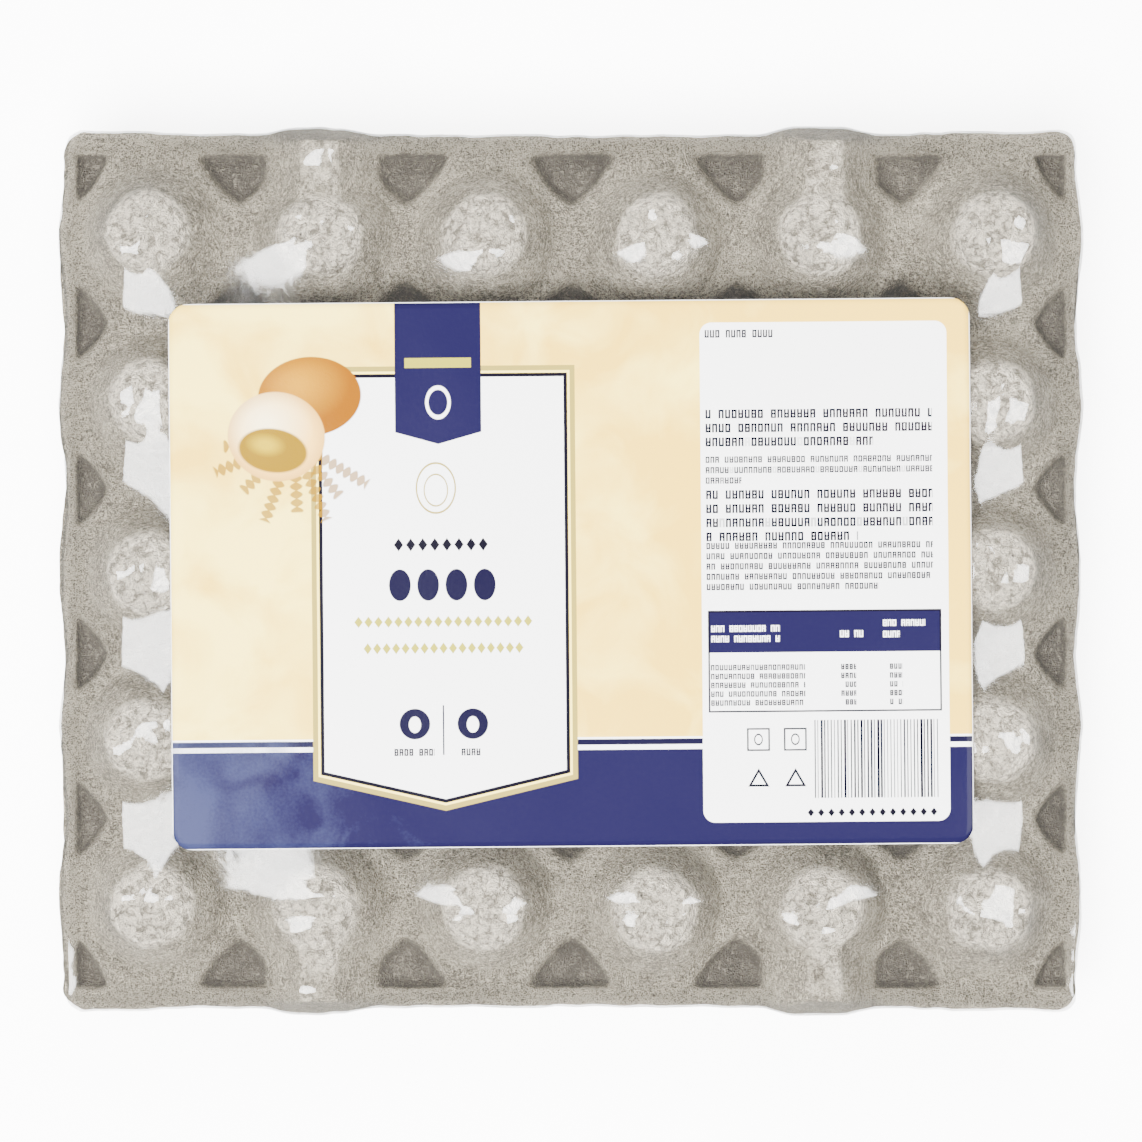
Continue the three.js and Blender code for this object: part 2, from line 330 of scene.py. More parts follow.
@dataclass(frozen=True)
class PulpFinish:
    """Rough moulded pulp: grey-beige, blotchy, matted with fibres and crumbly on the tops.

    The colours are linear. Painted shade darkens the pits, the crevices between crumbs and the fibre grooves,
    and painted light brightens the rim band, the raised crumbs and the raised fibres. The tops and the pits
    are told by how far they are from the height where the trays meet.
    """

    meeting_mm: float
    light: Colour = (0.58, 0.52, 0.405)
    crumb_highlight: Colour = (0.95, 0.86, 0.71)
    crevice_shade: Colour = (0.27, 0.24, 0.19)
    dark: Colour = (0.135, 0.119, 0.094)
    pit_shade: Colour = (0.06, 0.053, 0.047)
    speck: Colour = (0.02, 0.018, 0.018)
    blotch_mm: float = 13.0
    grain_mm: float = 0.9
    fine_mm: float = 0.4
    fibre_mm: float = 1.5
    crumb_mm: float = 2.2
    speck_mm: float = 4.2
    tops_from_mm: float = 27.3
    pits_to_mm: float = 6.8
    border_from_mm: tuple[float, float] = (141.5, 120.5)
    lump_depth_mm: float = 1.3
    relief_depth_mm: float = 2.2

    def make(self, name: str) -> bpy.types.Material:
        """Builds the material.

        Args:
            name: The material's name.

        Returns:
            The material.
        """
        graph = Graph(name)
        place = graph.position_mm()
        x, y, height = graph.axes(place)
        blotch = graph.noise(place, self.blotch_mm, 4.0, 0.5)
        grain = graph.noise(place, self.grain_mm, 5.0, 0.8)
        rise = abs(height - self.meeting_mm)
        on_top = (rise + (blotch - 0.5) * 8.0).above(self.tops_from_mm, 3.0)
        # Band at rim height: finer grain, and painted light in the tone.
        on_rim = rise.between(8.0, 12.8, 2.0)
        towards_edge = (abs(x) - self.border_from_mm[0]).at_least(abs(y) - self.border_from_mm[1])
        # Outer border of the rim band: finer grain and more painted light.
        on_border = towards_edge.above(0.0, 3.0) * on_rim
        # Where the pits are: the colour gets painted shade there.
        in_pit = (rise + (blotch - 0.5) * 2.5).below(self.pits_to_mm, 3.2) * towards_edge.below(2.6, 1.5)
        crumb = self._crumbs(graph, place)
        matted = self._fibres(graph, place)
        fine = graph.noise(place, self.fine_mm, 3.0, 0.4)
        relief = matted * (1.0 - on_top * 0.6) + (crumb * 1.2 + 0.04) * on_top + grain * 0.85
        relief = relief + (fine - 0.5) * (on_rim * 1.4 + on_top * 1.7 + on_border * 1.6)
        # Painted light and shade: the tone follows the relief, lighter on raised fibres and darker in the
        # grooves, partly the pulp's own grain.
        tone = (blotch - 0.5) * 0.9 + (relief - 0.74) * (2.2 - in_pit) + on_rim * 0.11
        # Painted light on the rim's outer border and painted shade in the pits.
        tone = tone + on_border * 0.3 - in_pit * 0.38 + 0.57
        colour = graph.mix(tone.at_least(0.0).at_most(1.0), self.dark, self.light)
        # The flat tops take a crumb colour: painted highlight on the raised crumbs and painted shade in the
        # crevices.
        lit_crumbs = ((relief - 1.06) * 1.15 + 0.74).at_least(0.0).at_most(1.0)
        colour = graph.mix(on_top, colour, graph.mix(lit_crumbs, self.crevice_shade, self.crumb_highlight))
        # Painted shade: the pits darkened further towards a near-black brown.
        colour = graph.mix(in_pit * 0.5, colour, self.pit_shade)
        colour = graph.mix(self._specks(graph, place) * 0.8, colour, self.speck)
        normal = graph.bump(graph.noise(place, 4.5, 3.0, 0.5), self.lump_depth_mm)
        normal = graph.bump(relief, self.relief_depth_mm, normal)
        shader = graph.add("ShaderNodeBsdfPrincipled", None, {
            "Base Color": colour, "Roughness": 0.93, "Specular IOR Level": 0.2, "Normal": normal,
        })
        return graph.finish(shader.outputs[0])

    def _crumbs(self, graph: Graph, place: bpy.types.NodeSocket) -> Value:
        """Torn crumbs: bent cells, high in the middle of each."""
        wander = {"Vector": place, "Scale": 0.45, "Detail": 2.0}
        bent = graph.add("ShaderNodeTexNoise", None, wander).outputs["Color"]
        shifted = graph.add("ShaderNodeVectorMath", {"operation": "MULTIPLY_ADD"},
                            {0: bent, 1: (5.0, 5.0, 5.0), 2: place}).outputs[0]
        cells = graph.value("ShaderNodeTexVoronoi", None, {"Vector": shifted, "Scale": 1.0 / self.crumb_mm})
        return 1.0 - cells * 1.3

    def _fibres(self, graph: Graph, place: bpy.types.NodeSocket) -> Value:
        """Two layers of long, wandering fibres that cross."""
        along = graph.noise(graph.stretched(place, (1.0, 0.4, 0.7)), self.fibre_mm, 4.0, 2.0)
        across = graph.noise(graph.stretched(place, (0.4, 1.0, 0.7)), self.fibre_mm, 4.0, 2.2)
        return (abs(along - 0.5) + abs(across - 0.5)) * 2.2

    def _specks(self, graph: Graph, place: bpy.types.NodeSocket) -> Value:
        """A few dark specks, one in some of the cells of a coarse pattern."""
        seeds = graph.add("ShaderNodeTexVoronoi", None, {
            "Vector": graph.stretched(place, (1.0, 0.75, 1.0)), "Scale": 1.0 / self.speck_mm,
        })
        chosen = graph.axes(seeds.outputs["Color"])[0].above(0.6, 0.02)
        return Value(graph, seeds.outputs["Distance"]).below(0.075, 0.05) * chosen


@dataclass(frozen=True)
class FilmFinish:
    """Clear, taut shrink film that shows only where it mirrors a lamp."""

    mirror: Colour = (1.0, 1.0, 1.0)
    tint: Colour = (0.985, 0.985, 0.982)
    face_on: float = 0.04
    edge_on: float = 0.3
    shine: float = 1.7
    roughness: float = 0.07

    def make(self, name: str) -> bpy.types.Material:
        """Builds the material: see-through, with a mirror share after Schlick.

        The share is f + (1 - f)(1 - c)⁵, where f is the share seen face on and c the cosine of the view
        angle. It's uneven, as the film clings to the pulp, and fades where the film is seen edge on.

        Args:
            name: The material's name.

        Returns:
            The material.
        """
        graph = Graph(name)
        place = graph.position_mm()
        ripple = graph.bump(graph.noise(place, 9.0, 2.0, 0.6), 0.06)
        facing = graph.facing()
        share = ((1.0 - facing) ** 5.0 * (1.0 - self.face_on) + self.face_on) * self.shine
        share = share * (facing * 3.0).at_most(1.0) * (graph.noise(place, 1.6, 4.0, 0.8) * 0.9 + 0.5)
        clear = graph.add("ShaderNodeBsdfTransparent", None, {"Color": with_alpha(self.tint)})
        gloss = graph.add("ShaderNodeBsdfGlossy", None, {
            "Color": with_alpha(self.mirror), "Roughness": self.roughness, "Normal": ripple,
        })
        both = graph.add("ShaderNodeMixShader", None, {
            0: share.at_most(self.edge_on), 1: clear.outputs[0], 2: gloss.outputs[0],
        })
        return graph.finish(both.outputs[0])


@dataclass(frozen=True)
class FloorFinish:
    """Plain white studio floor."""

    colour: Colour = (0.93, 0.93, 0.93)
    glow: float = 5.0

    def make(self, name: str) -> bpy.types.Material:
        """Builds the material, a little self-lit so that it stays pale all over."""
        graph = Graph(name)
        shader = graph.add("ShaderNodeBsdfPrincipled", None, {
            "Base Color": with_alpha(self.colour), "Roughness": 1.0, "Specular IOR Level": 0.0,
            "Emission Color": with_alpha(self.colour), "Emission Strength": self.glow,
        })
        material = graph.finish(shader.outputs[0])
        material.cycles.emission_sampling = "NONE"
        return material


@dataclass(frozen=True)
class TextBlock:
    """Stand-in lines of print: rows of small frames, open above or below at random, which spell nothing.

    Sizes are in mm. The first line's middle is at top, and words are about word letters long.
    """

    left: float
    right: float
    top: float
    pitch: float
    lines: int
    height: float
    letter: float
    stroke: float
    word: float
    salt: float
    last_share: float = 1.0

    def mask(self, graph: Graph, x: Value, y: Value) -> Value:
        """Where the ink is.

        Args:
            graph: The label's node tree.
            x: Place along the label, in mm.
            y: Place up the label, in mm.

        Returns:
            1 on ink and 0 elsewhere.
        """
        soft = min(0.12, self.stroke / 2.0)
        fallen = (self.top + self.height / 2.0 - y) / self.pitch
        row = fallen.floor()
        down = fallen.fraction() * self.pitch
        along = (x - self.left) / self.letter
        letter = along.floor()
        gap = self.stroke * 0.6
        aside = abs(along.fraction() - 0.5) * self.letter
        half = (self.letter - gap) / 2.0
        drawn = graph.random(letter, row, self.salt)
        opened = (drawn - 0.5) * 6.0
        hollow_top = self.stroke - (opened - 0.6).at_least(0.0) * self.height
        hollow_foot = self.height - self.stroke + (-0.6 - opened).at_least(0.0) * self.height
        hollow = aside.below(half - self.stroke, soft) * (down - hollow_top).above(0.0, soft)
        hollow = hollow * (hollow_foot - down).above(0.0, soft)
        barred = (drawn * 7.0).fraction().above(0.55, 0.02)
        bar = abs(down - self.height / 2.0).below(self.stroke * 0.45, soft) * barred
        ink = aside.below(half, soft) * down.below(self.height, soft) * (1.0 - hollow * (1.0 - bar))
        spaced = ((letter + graph.random(row, self.salt, 3.0) * self.word) / self.word).fraction()
        ink = ink * spaced.above(0.9 / self.word, 0.02) * row.between(-0.5, self.lines - 0.5, 0.02)
        reach = (x - self.left) / (self.right - self.left)
        last = row.between(self.lines - 1.5, self.lines - 0.5, 0.02) * (1.0 - self.last_share)
        return ink * reach.above(0.0, 0.004) * (reach + last).below(1.0, 0.004)


@dataclass(frozen=True)
class LabelPrint:
    """The print: cream field, blue band, gold-edged white panel, egg picture, data panel.

    Sizes are in mm and colours linear.
    """

    half_length: float
    half_width: float
    centre_y: float
    turn: float
    cream: Colour = (0.62, 0.40, 0.055)
    pale_cream: Colour = (0.78, 0.61, 0.15)
    white: Colour = (0.72, 0.72, 0.72)
    blue: Colour = (0.0062, 0.0049, 0.0235)
    ink: Colour = (0.0035, 0.003, 0.0065)
    navy: Colour = (0.0045, 0.0036, 0.0145)
    gold: Colour = (0.23, 0.18, 0.042)
    gold_text: Colour = (0.25, 0.225, 0.024)
    amber: Colour = (0.15, 0.05, 0.0)
    shell: Colour = (0.68, 0.40, 0.10)
    straw: Colour = (0.17, 0.085, 0.0)
    sheen: Colour = (0.030, 0.037, 0.085)
    yolk: Colour = (0.15, 0.085, 0.0)
    bright_yolk: Colour = (0.32, 0.22, 0.0)

    def make(self, name: str, region: Region) -> bpy.types.Material:
        """Builds the material of one region.

        Args:
            name: The material's name.
            region: The part of the label it's for.

        Returns:
            The material.
        """
        graph = Graph(name)
        place = graph.position_mm()
        world_x, world_y, _ = graph.axes(place)
        cosine, sine = math.cos(self.turn), math.sin(self.turn)
        x = world_x * cosine + (world_y - self.centre_y) * sine
        y = (world_y - self.centre_y) * cosine - world_x * sine
        colour = self._field(graph, place, x, y)
        if region is Region.MIDDLE:
            colour = self._main_panel(graph, x, y, colour)
        if region is Region.RIGHT:
            colour = self._data_panel(graph, x, y, colour)
        else:
            colour = self._egg_picture(graph, x, y, colour)
        edge = (abs(x) - self.half_length).at_least(abs(y) - self.half_width)
        colour = graph.mix(edge.above(-0.25), colour, self.white)
        normal = graph.bump(graph.noise(place, 0.9, 2.0), 0.03)
        sheen = graph.noise(place, 26.0, 3.0, 0.5)
        shader = graph.add("ShaderNodeBsdfPrincipled", None, {
            "Base Color": colour, "Roughness": sheen * 0.1 + 0.14, "Specular IOR Level": 0.06,
            "Normal": normal,
        })
        return graph.finish(shader.outputs[0])

    def _field(self, graph: Graph, place: bpy.types.NodeSocket, x: Value, y: Value) -> bpy.types.NodeSocket:
        """The cream ground, mottled like old paper, the blue band and its lines along the foot, and a painted
        sheen on the band.
        """
        mottle = graph.noise(place, 22.0, 5.0, 0.6)
        lighter_left = (x * -0.0035) + 0.35
        share = ((mottle - 0.5) * 3.4 + lighter_left).at_least(0.0).at_most(1.0)
        colour = graph.mix(share, self.cream, self.pale_cream)
        colour = graph.mix(y.below(-46.2), colour, self.white)
        colour = graph.mix(y.between(-48.4, -46.8), colour, self.navy)
        colour = graph.mix(y.below(-49.8), colour, self.blue)
        # Painted sheen: clouds of paler blue over the band, fading to the right.
        cloud = graph.noise(place, 17.0, 2.0, 1.2) * 1.3 + graph.noise(place, 0.8, 3.0) * 0.5
        sheen = cloud - (x + 76.0) * 0.011
        return graph.mix(sheen.above(1.05, 0.7) * y.below(-46.6) * 0.55, colour, self.sheen)

    def _ellipse(self, x: Value, y: Value, centre: tuple[float, float], radii: tuple[float, float],
                 tilt: float = 0.0) -> Value:
        """How far out a point lies on an ellipse: 0 at its centre and 1 on its edge."""
        along = ((x - centre[0]) * math.cos(tilt) + (y - centre[1]) * math.sin(tilt)) / radii[0]
        across = ((y - centre[1]) * math.cos(tilt) - (x - centre[0]) * math.sin(tilt)) / radii[1]
        return (along * along + across * across) ** 0.5

    @staticmethod
    def _diamonds(x: Value, y: Value, left: float, right: float, line: float, pitch: float,
                  half_size: tuple[float, float]) -> Value:
        """A chain of small diamonds along a level line, where such a label has a line of larger print."""
        aside = abs(((x - left) / pitch).fraction() - 0.5) * (pitch / half_size[0])
        shape = (aside + abs(y - line) / half_size[1]).below(1.0, 0.1)
        return shape * x.between(left, right - (right - left) % pitch, 0.02)

    def _egg_picture(self, graph: Graph, x: Value, y: Value,
                     colour: bpy.types.NodeSocket) -> bpy.types.NodeSocket:
        """A plain egg and an opened one on a fan of straw, across the left edge of the white panel."""
        for number, lean in enumerate((3.2, 3.5, 3.9, 4.35, 4.75, 5.1, 5.4, 5.75)):
            along = (x + 78.0) * math.cos(lean) + (y - 38.0) * math.sin(lean)
            across = (y - 38.0) * math.cos(lean) - (x + 78.0) * math.sin(lean)
            beads = abs((along * (math.pi / 2.3)).sine())
            reach = along.between(4.0, 20.0 + 4.0 * (number % 2), 0.5)
            colour = graph.mix((abs(across) - beads * 1.5).below(0.3, 0.5) * reach * 0.85, colour, self.straw)
        for centre, radii, tilt, body, lit in (
            ((-73.5, 50.8), (14.6, 11.2), 0.06, self.amber, (0.31, 0.14, 0.002)),
            ((-83.0, 39.5), (13.8, 12.6), -0.15, self.shell, (0.78, 0.66, 0.4)),
        ):
            out = self._ellipse(x, y, centre, radii, tilt)
            light = self._ellipse(x, y, (centre[0] - 3.0, centre[1] + 3.5), radii, tilt)
            skin = graph.mix(light.below(0.55, 0.9), body, lit)
            rim = graph.mix(out.above(0.86, 0.3) * 0.4, skin, self.amber)
            colour = graph.mix(out.below(1.0, 0.03), colour, rim)
        pool = self._ellipse(x, y, (-84.0, 35.6), (9.8, 6.2), -0.15)
        glow = self._ellipse(x, y, (-86.0, 37.2), (5.5, 3.2), -0.15)
        filled = graph.mix(glow.below(0.7, 0.8), self.yolk, self.bright_yolk)
        return graph.mix(pool.below(1.0, 0.1), colour, filled)

    def _main_panel(self, graph: Graph, x: Value, y: Value,
                    colour: bpy.types.NodeSocket) -> bpy.types.NodeSocket:
        """The white shield panel with its gold border, blue pennant and stand-in lines."""
        middle, half, top, tip, slope = -35.9, 34.2, 55.9, -63.4, 0.234
        aside = abs(x - middle)
        foot = (aside * slope + tip - y) * math.cos(math.atan(slope))
        out = (aside - half).at_least(y - top).at_least(foot)
        layers = ((3.2, self.gold), (1.75, self.pale_cream), (1.05, self.ink), (0.0, self.white))
        for edge, paint in layers:
            colour = graph.mix(out.below(edge), colour, paint)
        pennant_middle = -37.2
        beside = abs(x - pennant_middle)
        pennant = beside.below(12.2) * (y - beside * 0.28).above(37.0)
        colour = graph.mix(pennant, colour, self.blue)
        colour = graph.mix(beside.below(9.4) * y.between(58.6, 61.4), colour, self.gold_text)
        ring = self._ellipse(x, y, (pennant_middle, 48.8), (3.4, 4.5))
        colour = graph.mix(ring.between(0.8, 1.06, 0.06), colour, self.white)
        egg = self._ellipse(x, y, (-38.0, 24.6), (5.6, 7.2))
        colour = graph.mix(egg.between(0.94, 1.02, 0.02), colour, self.gold)
        inner = self._ellipse(x, y, (-38.0, 24.0), (3.4, 4.6))
        colour = graph.mix(inner.between(0.92, 1.02, 0.03), colour, self.gold)
        chains = (
            (-50.4, -23.0, 8.6, 3.42, (1.35, 1.9), self.ink),
            (-61.6, -10.8, -13.2, 2.82, (1.2, 1.6), self.gold_text),
            (-59.0, -13.4, -20.7, 2.68, (1.15, 1.6), self.gold_text),
        )
        for left, right, line, pitch, half_size, paint in chains:
            colour = graph.mix(self._diamonds(x, y, left, right, line, pitch, half_size), colour, paint)
        for number in range(4):
            mark = self._ellipse(x, y, (-48.4 + 8.0 * number, -2.8), (3.1, 4.5))
            colour = graph.mix(mark.below(1.0, 0.04), colour, self.navy)
        for disc_x in (-44.5, -28.1):
            disc = self._ellipse(x, y, (disc_x, -42.1), (4.35, 4.35))
            mark = self._ellipse(x, y, (disc_x, -42.3), (1.7, 2.3))
            colour = graph.mix(disc.below(1.0, 0.04), colour, self.navy)
            colour = graph.mix(mark.below(1.0, 0.08), colour, self.white)
        rule = abs(x + 36.4).below(0.22, 0.1) * y.between(-50.9, -36.8)
        colour = graph.mix(rule, colour, self.navy)
        for left, right, salt in ((-50.5, -39.0, 3.0), (-31.5, -24.7, 4.0)):
            caption = TextBlock(left, right, -50.1, 9.0, 1, 2.0, 1.4, 0.44, 9.0, salt)
            colour = graph.mix(caption.mask(graph, x, y), colour, self.ink)
        return colour

    def _data_panel(self, graph: Graph, x: Value, y: Value,
                    colour: bpy.types.NodeSocket) -> bpy.types.NodeSocket:
        """The white data panel: stand-in print, a small table, two outline marks and a bar pattern."""
        corner = 3.4
        out_x = (abs(x - 71.8) - (34.9 - corner)).at_least(0.0)
        out_y = (abs(y - 0.0) - (70.7 - corner)).at_least(0.0)
        panel = ((out_x * out_x + out_y * out_y) ** 0.5).below(corner)
        colour = graph.mix(panel, colour, self.white)
        print_blocks = (
            TextBlock(38.2, 59.0, 67.5, 9.0, 1, 2.2, 1.5, 0.46, 5.0, 1.0),
            TextBlock(38.2, 102.4, 44.8, 3.95, 3, 2.5, 1.85, 0.56, 8.0, 6.0, 0.74),
            TextBlock(38.2, 102.4, 31.9, 2.95, 3, 1.8, 1.35, 0.4, 9.0, 9.0, 0.16),
            TextBlock(38.2, 102.4, 22.0, 3.97, 4, 2.5, 1.85, 0.56, 7.0, 12.0, 0.67),
            TextBlock(38.2, 102.4, 7.5, 2.9, 5, 1.8, 1.35, 0.42, 10.0, 15.0, 0.76),
            TextBlock(39.2, 66.0, -26.9, 2.5, 5, 1.6, 1.25, 0.38, 12.0, 18.0),
            TextBlock(76.0, 80.4, -26.9, 2.5, 5, 1.6, 1.2, 0.4, 9.0, 21.0),
            TextBlock(89.8, 93.6, -26.9, 2.5, 5, 1.6, 1.2, 0.4, 9.0, 24.0),
        )
        for block in print_blocks:
            colour = graph.mix(block.mask(graph, x, y), colour, self.ink)
        box = (abs(x - 71.6) - 33.0).at_least(abs(y + 25.2) - 14.4)
        colour = graph.mix(box.below(0.0) * y.above(-22.7), colour, self.blue)
        colour = graph.mix(box.between(-0.5, 0.0), colour, self.ink)
        for block in (TextBlock(39.4, 59.0, -15.9, 2.9, 2, 1.8, 1.3, 0.36, 9.0, 30.0),
                      TextBlock(75.8, 82.6, -17.6, 9.0, 1, 1.9, 1.35, 0.38, 6.0, 33.0),
                      TextBlock(88.0, 100.0, -14.6, 3.2, 2, 1.8, 1.3, 0.36, 9.0, 36.0, 0.4)):
            colour = graph.mix(block.mask(graph, x, y), colour, self.white)
        for mark_x in (52.6, 63.0):
            square = abs(x - mark_x).at_least(abs(y + 47.3))
            colour = graph.mix(square.between(2.75, 3.25, 0.15), colour, self.ink)
            dot = self._ellipse(x, y, (mark_x, -47.3), (1.2, 1.6))
            colour = graph.mix(dot.between(0.75, 1.05, 0.08), colour, self.ink)
            slant = (abs(x - mark_x) * 0.866 + (y + 58.9) * 0.5).at_least((y + 58.9) * -1.0)
            colour = graph.mix(slant.between(1.1, 1.75, 0.15), colour, self.ink)
        module = (x - 68.3) / 0.94
        stripe = (module.fraction() - graph.random(module.floor(), 7.0, 2.0) * 0.5).below(0.24, 0.12)
        bars = stripe * x.between(68.4, 103.9) * y.between(-64.0, -41.9)
        colour = graph.mix(bars, colour, self.ink)
        return graph.mix(self._diamonds(x, y, 65.8, 103.5, -68.1, 2.9, (0.95, 1.2)), colour, self.ink)


# Meshes


def make_piece(name: str, points: Array, faces: Iterable[Sequence[int]], material: bpy.types.Material,
               node: str) -> bpy.types.Object:
    """Makes a smooth-shaded piece that stands for a node of the pack.

    Args:
        name: The piece's name.
        points: Its vertices in mm, one row each.
        faces: Its faces, as vertex numbers.
        material: Its finish.
        node: The node it replaces.

    Returns:
        The new object.
    """
    mesh = bpy.data.meshes.new(name)
    mesh.from_pydata((points * MM).tolist(), [], [list(face) for face in faces])
    mesh.polygons.foreach_set("use_smooth", np.ones(len(mesh.polygons), dtype=bool))
    mesh.update()
    piece = bpy.data.objects.new(name, mesh)
    bpy.context.scene.collection.objects.link(piece)
    mesh.materials.append(material)
    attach(piece, "root")
    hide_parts(node)
    LOG.info("%s: %d vertices, %d faces", name, len(mesh.vertices), len(mesh.polygons))
    return piece


def grid_faces(columns: int, rows: int) -> Array:
    """The four-sided faces of a grid whose points are numbered along each row in turn."""
    corner = (np.arange(rows - 1)[:, None] * columns + np.arange(columns - 1)[None, :]).ravel()
    return np.stack([corner, corner + 1, corner + columns + 1, corner + columns], axis=1)


def border_loop(columns: int, rows: int) -> Array:
    """The numbers of a grid's border points, counterclockwise."""
    bottom = np.arange(columns - 1)
    right = np.arange(rows - 1) * columns + columns - 1
    top = (rows - 1) * columns + np.arange(columns - 1, 0, -1)
    left = np.arange(rows - 1, 0, -1) * columns
    return np.concatenate([bottom, right, top, left])


def wall_faces(loop: Array, first: int, rings: int) -> Array:
    """Faces between a border loop and the rings of points under it, which are numbered on from first."""
    count = len(loop)
    upper = loop
    faces = []
    for ring in range(rings):
        lower = first + ring * count + np.arange(count)
        faces.append(np.stack([upper, lower, np.roll(lower, -1), np.roll(upper, -1)], axis=1))
        upper = lower
    return np.concatenate(faces)


def outward_directions(loop: Array) -> Array:
    """The level direction out of a counterclockwise loop of points, at each point."""
    along = np.roll(loop, -1, axis=0) - np.roll(loop, 1, axis=0)
    out = np.stack([along[:, 1], -along[:, 0]], axis=1)
    return out / np.linalg.norm(out, axis=1, keepdims=True)


@dataclass(frozen=True)
class Cells:
    """The grid of egg cells, in mm."""

    pitch: float = 48.0
    columns: int = 6
    rows: int = 5

    @property
    def half_x(self) -> float:
        """Half the length of the grid."""
        return self.pitch * self.columns / 2.0

    @property
    def half_y(self) -> float:
        """Half the width of the grid."""
        return self.pitch * self.rows / 2.0

    @property
    def rib_x(self) -> float:
        """How far from the middle the columns with ribs are."""
        return 1.5 * self.pitch


@dataclass(frozen=True)
class Outline:
    """The outline of a rim or of the film on it, in mm: bowed long edges with bulges, waved short edges."""

    cells: Cells
    half_length: float
    half_width_end: float
    half_width_middle: float
    wave: float
    bulge: float
    ragged: float
    seed: int
    corner: float = 5.5

    def half_length_at(self, y: Array) -> Array:
        """Half the length at y: a cosine that peaks beside each row of cups, plus a little random wander."""
        wander = self.ragged * layered_noise(y, np.zeros_like(y), ((13.0, 1.0), (4.2, 0.55)), self.seed)
        return self.half_length + self.wave * np.cos(2.0 * math.pi * y / self.cells.pitch) + wander

    def half_width_at(self, x: Array) -> Array:
        """Half the width at x: a cubic bow between the ends, a rounded bulge at each rib, and some wander."""
        bow = (self.half_width_end - self.half_width_middle) * np.abs(x / self.half_length) ** 3
        beside = (np.abs(np.abs(x) - self.cells.rib_x) - 6.5) / 11.0
        wander = self.ragged * layered_noise(x, np.full_like(x, 5.0), ((15.0, 1.0), (4.2, 0.55)), self.seed)
        return self.half_width_middle + bow + self.bulge * (1.0 - smooth_step(beside)) + wander

    def spread(self, step: float) -> tuple[Array, Array]:
        """A grid of points over the outline.

        The grid is square inside the cells. Outside them it is stretched to the outline, and at each corner
        the square of side corner is pressed into a quarter disc: x' = x √(1 - y²/2), y' = y √(1 - x²/2).

        Args:
            step: The rough distance between points.

        Returns:
            The x and the y of each point, as rows by columns.
        """
        count_x = 2 * round(self.half_length / step) + 1
        count_y = 2 * round(self.half_width_end / step) + 1
        flat_x, flat_y = np.meshgrid(
            np.linspace(-self.half_length, self.half_length, count_x),
            np.linspace(-self.half_width_end, self.half_width_end, count_y),
        )
        inner_x, inner_y = self.cells.half_x - 2.0, self.cells.half_y - 2.0
        reach_x, reach_y = self.half_length_at(flat_y), self.half_width_at(flat_x)
        x = self._stretched(flat_x, inner_x, self.half_length, reach_x)
        y = self._stretched(flat_y, inner_y, self.half_width_end, reach_y)
        a = np.clip((np.abs(x) - reach_x + self.corner) / self.corner, 0.0, 1.0)
        b = np.clip((np.abs(y) - reach_y + self.corner) / self.corner, 0.0, 1.0)
        inside = (a > 0.0) & (b > 0.0)
        in_x = self.corner * (a * np.sqrt(1.0 - b * b / 2.0) - a)
        in_y = self.corner * (b * np.sqrt(1.0 - a * a / 2.0) - b)
        return x + np.where(inside, np.sign(x) * in_x, 0.0), y + np.where(inside, np.sign(y) * in_y, 0.0)

    @staticmethod
    def _stretched(flat: Array, inner: float, end: float, reach: Array) -> Array:
        """Moves coordinates past inner so that end lands on reach."""
        past = np.maximum(np.abs(flat) - inner, 0.0)
        return np.sign(flat) * (np.minimum(np.abs(flat), inner) + past * (reach - inner) / (end - inner))

    def depth(self, x: Array, y: Array) -> Array:
        """How far inside the outline a point is."""
        to_side = self.half_length_at(y) - np.abs(x)
        to_edge = self.half_width_at(x) - np.abs(y)
        in_x, in_y = self.corner - to_side, self.corner - to_edge
        round_corner = self.corner - np.hypot(np.maximum(in_x, 0.0), np.maximum(in_y, 0.0))
        return np.where((in_x > 0.0) & (in_y > 0.0), round_corner, np.minimum(to_side, to_edge))


